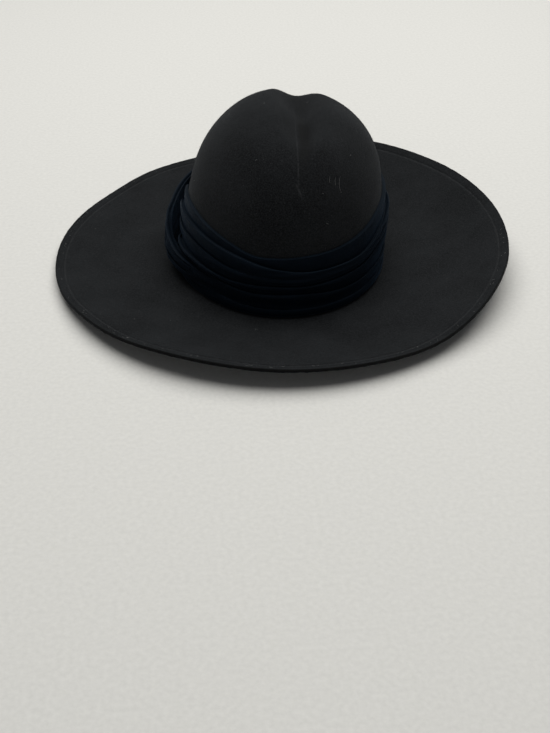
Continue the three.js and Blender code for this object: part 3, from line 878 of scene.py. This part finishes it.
def band_surface(turned, share, offset):
    """Points of the band at shares of its height and offsets off the felt, for every station."""
    angle = np.radians(bearings[:, None] + slant[:, None] * (1 - turned))
    floor_z = band_floor(angle, offset)
    z = floor_z + (FELT_THICKNESS + band_top[:, None] - floor_z) * share
    return beside_crown(angle, z, offset)


face_points = band_surface(turned_share, face_share, face_offset)
back_share = np.maximum.accumulate(np.clip(face_share, 0, 1), axis=1)
back_points = band_surface(turned_share, back_share, back_offset)[:, ::-1]
loops = np.concatenate([face_points, back_points], 1)
count = loops.shape[1]
band_faces = ring_faces(len(loops), count)
end_at = (len(loops) - 1) * count
for step in range(face_points.shape[1] - 1):
    inner = count - 1 - step
    band_faces.append([inner, step, step + 1, inner - 1])
    band_faces.append([end_at + inner, end_at + inner - 1, end_at + step + 1, end_at + step])
draped_band = plain_mesh("pleated_band", loops.reshape(-1, 3), band_faces)

# Cloth coordinates in metres: along the strip, and across it over the pleats
cloth_map = draped_band.data.uv_layers.new(name="cloth")
across_path = np.concatenate(
    [np.zeros((len(loops), 1)), np.cumsum(np.linalg.norm(np.diff(loops, axis=1), axis=-1), axis=1)], 1
)
along_path = np.repeat((np.radians(bearings) * BAND_RADIUS)[:, None], count, 1)
strip = np.stack([along_path, across_path], -1).reshape(-1, 2)
corner_point = np.zeros(len(draped_band.data.loops), int)
draped_band.data.loops.foreach_get("vertex_index", corner_point)
cloth_map.data.foreach_set("uv", strip[corner_point].ravel().astype(np.float32))

# The back of the cloth is painted darker than its face: painted shade, where it shows inside the pocket
underside = np.zeros((len(loops), count))
underside[:, face_points.shape[1]:] = 1
give_values(draped_band, "underside", underside)

CLOTH_DARK = (0.0003, 0.0009, 0.0024)
CLOTH_LIGHT = (0.0008, 0.0021, 0.0048)
CLOTH_THREAD = (0.0024, 0.0048, 0.0092)
CLOTH_BACK_SHADE = (0.0003, 0.0004, 0.0006)
WEAVE_SCALE = 520
band_cloth, tree, shader = new_finish(
    "blue_black_crepe", Roughness=0.7, Specular_IOR_Level=0.15, Sheen_Weight=0.04,
    Sheen_Roughness=0.4, Sheen_Tint=(0.35, 0.6, 1, 1), Specular_Tint=(0.5, 0.75, 1, 1),
)
flat_cloth = add_node(tree, "ShaderNodeUVMap", uv_map="cloth").outputs[0]
place = add_node(tree, "ShaderNodeTexCoord").outputs["Object"]
threads = {"Vector": flat_cloth, "Scale": WEAVE_SCALE, "Distortion": 0.6}
warp = add_node(tree, "ShaderNodeTexWave", threads, bands_direction="X").outputs["Fac"]
weft = add_node(tree, "ShaderNodeTexWave", threads, bands_direction="Y").outputs["Fac"]
weave = product(tree, warp, weft)
shade = noise(tree, place, scale=60, detail=3)
wrong_side = add_node(tree, "ShaderNodeAttribute", attribute_name="underside").outputs["Fac"]
base = mixed(tree, ranged(tree, shade, 0.35, 0.65), CLOTH_DARK, CLOTH_LIGHT)
base = mixed(tree, ranged(tree, weave, 0.1, 0.9, to_high=0.6), base, CLOTH_THREAD)
# Painted shade on the back of the cloth
base = mixed(tree, ranged(tree, wrong_side, 0, 1, to_high=0.75), base, CLOTH_BACK_SHADE)
tree.links.new(base, shader.inputs["Base Color"])
add_relief(tree, shader, weave, strength=0.35, depth=0.0002)
draped_band.data.materials.append(band_cloth)
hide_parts("draped_band")
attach(draped_band, "root")

# Floor: a plain pale surface that the hat rests on, with a faint tooth like heavy paper
FLOOR_REACH = 1.7
FLOOR_DARK = (0.662, 0.655, 0.63)
FLOOR_LIGHT = (0.719, 0.711, 0.685)
corners = FLOOR_REACH * np.array([(-1, -1, 0), (1, -1, 0), (1, 1, 0), (-1, 1, 0)])
floor = plain_mesh("floor", corners, [[0, 1, 2, 3]], smooth=False)
paper, tree, shader = new_finish("pale_floor", Roughness=0.85, Specular_IOR_Level=0.2)
place = add_node(tree, "ShaderNodeTexCoord").outputs["Object"]
tooth = noise(tree, place, scale=300, detail=4)
base = mixed(tree, ranged(tree, tooth, 0.3, 0.7), FLOOR_DARK, FLOOR_LIGHT)
tree.links.new(base, shader.inputs["Base Color"])
add_relief(tree, shader, tooth, strength=0.3, depth=0.0004)
floor.data.materials.append(paper)

# Studio light: one broad soft panel overhead and a little behind the hat, a small weak one far off in
# front, and a dim even surround that looks pale where it shows behind the floor
world = bpy.data.worlds.new("pale_surround")
world.use_nodes = True
tree = world.node_tree
surround = tree.nodes["Background"]
surround.inputs["Color"].default_value = (0.95, 0.97, 1, 1)
surround.inputs["Strength"].default_value = 0.08
backdrop = add_node(tree, "ShaderNodeBackground", {"Color": (0.8, 0.8, 0.79, 1), "Strength": 0.85})
seen = add_node(tree, "ShaderNodeLightPath").outputs["Is Camera Ray"]
shown = add_node(tree, "ShaderNodeMixShader", {0: seen, 1: surround.outputs[0], 2: backdrop.outputs[0]})
tree.links.new(shown.outputs[0], tree.nodes["World Output"].inputs["Surface"])
bpy.context.scene.world = world


def soft_panel(name, at, aim, size, power, tint):
    """A round studio panel that faces a point."""
    light = bpy.data.lights.new(name, "AREA")
    light.shape = "DISK"
    light.size = size
    light.energy = power
    light.color = tint
    holder = bpy.data.objects.new(name, light)
    holder.location = at
    holder.rotation_euler = (Vector(aim) - Vector(at)).to_track_quat("-Z", "Y").to_euler()
    bpy.context.scene.collection.objects.link(holder)


WARM_WHITE = (1, 0.997, 0.972)
COOL_WHITE = (0.97, 0.985, 1)
soft_panel("overhead_panel", at=(0.12, 0.5, 1.8), aim=(0, 0, 0), size=2.8, power=54, tint=WARM_WHITE)
soft_panel("front_panel", at=(-0.4, -4.0, 1.5), aim=(0, 0, 0.1), size=2.0, power=11, tint=COOL_WHITE)

# Camera: in front of the hat and above it, looking down at the photograph's angle
CAMERA_PLACE = Vector((-0.0791, -0.8587, 0.4917))
CAMERA_HEADING = (0.0859, 0.9963)
CAMERA_PITCH = math.radians(35.35)
FOCAL_PIXELS = 1100
FRAME_PIXELS = 733
camera = bpy.data.cameras.new("camera")
camera.sensor_width = 36
camera.lens = FOCAL_PIXELS / FRAME_PIXELS * camera.sensor_width
camera_holder = bpy.data.objects.new("camera", camera)
camera_holder.location = CAMERA_PLACE
level = math.cos(CAMERA_PITCH)
aim = Vector((CAMERA_HEADING[0] * level, CAMERA_HEADING[1] * level, -math.sin(CAMERA_PITCH)))
camera_holder.rotation_euler = aim.to_track_quat("-Z", "Y").to_euler()
bpy.context.scene.collection.objects.link(camera_holder)
bpy.context.scene.camera = camera_holder
bpy.context.scene.view_settings.view_transform = "Standard"
